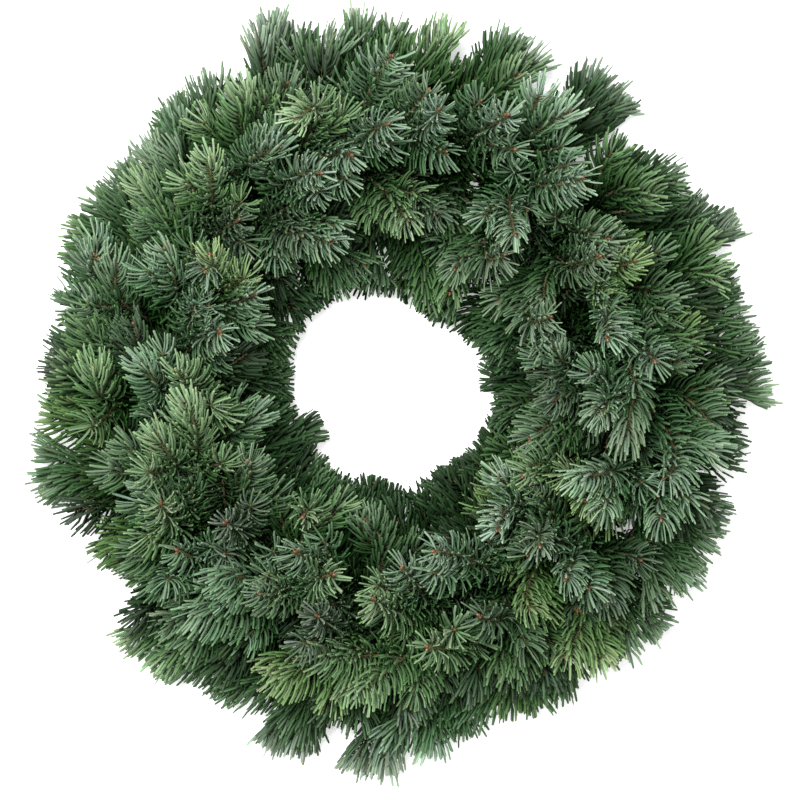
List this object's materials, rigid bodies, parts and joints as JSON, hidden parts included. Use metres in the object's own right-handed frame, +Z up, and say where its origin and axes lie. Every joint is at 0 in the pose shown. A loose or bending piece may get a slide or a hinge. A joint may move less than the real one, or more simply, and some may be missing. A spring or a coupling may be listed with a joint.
{
  "type": "fresh evergreen wreath",
  "caption": "Round wreath of fresh noble fir branches held in clamps on a wire hoop, with foliage all round an open middle.",
  "frame": {"origin": "on the surface that the wreath lies on, under the middle of its bounding box", "axes": "+Z up out of the wreath's face, +Y to its twelve o'clock, +X to its three o'clock"},
  "size_m": [0.495, 0.5108, 0.1087],
  "materials": {
    "hoop_wire": "green lacquered steel wire, slightly glossy",
    "foliage_blue": "fresh noble fir needles on their twig, glaucous blue-green, satin",
    "foliage_middle": "fresh noble fir needles on their twig, middle green, satin",
    "foliage_deep": "fresh noble fir needles on their twig, deep green, satin",
    "foliage_fresh": "fresh noble fir needles on their twig, light fresh green, satin"
  },
  "bodies": {
    "root": {"wire_hoop": "hoop_wire", "branch_inner_01": "foliage_deep", "branch_crown_01": "foliage_blue", "branch_outer_01": "foliage_middle", "branch_inner_02": "foliage_middle", "branch_crown_02": "foliage_blue", "branch_outer_02": "foliage_blue", "branch_inner_03": "foliage_middle", "branch_crown_03": "foliage_middle", "branch_outer_03": "foliage_middle", "branch_inner_04": "foliage_blue", "branch_crown_04": "foliage_middle", "branch_outer_04": "foliage_middle", "branch_inner_05": "foliage_deep", "branch_crown_05": "foliage_blue", "branch_outer_05": "foliage_middle", "branch_inner_06": "foliage_blue", "branch_crown_06": "foliage_blue", "branch_outer_06": "foliage_middle", "branch_inner_07": "foliage_blue", "branch_crown_07": "foliage_blue", "branch_outer_07": "foliage_middle", "branch_inner_08": "foliage_blue", "branch_crown_08": "foliage_deep", "branch_outer_08": "foliage_blue", "branch_inner_09": "foliage_blue", "branch_crown_09": "foliage_fresh", "branch_outer_09": "foliage_blue", "branch_inner_10": "foliage_blue", "branch_crown_10": "foliage_fresh", "branch_outer_10": "foliage_middle", "branch_inner_11": "foliage_middle", "branch_crown_11": "foliage_blue", "branch_outer_11": "foliage_middle", "branch_inner_12": "foliage_deep", "branch_crown_12": "foliage_blue", "branch_outer_12": "foliage_blue", "branch_inner_13": "foliage_blue", "branch_crown_13": "foliage_middle", "branch_outer_13": "foliage_middle", "branch_inner_14": "foliage_blue", "branch_crown_14": "foliage_blue", "branch_outer_14": "foliage_fresh", "branch_inner_15": "foliage_blue", "branch_crown_15": "foliage_blue", "branch_outer_15": "foliage_middle", "branch_inner_16": "foliage_deep", "branch_crown_16": "foliage_middle", "branch_outer_16": "foliage_blue", "branch_inner_17": "foliage_blue", "branch_crown_17": "foliage_blue", "branch_outer_17": "foliage_middle", "branch_inner_18": "foliage_blue", "branch_crown_18": "foliage_blue", "branch_outer_18": "foliage_middle"}
  },
  "joints": []
}
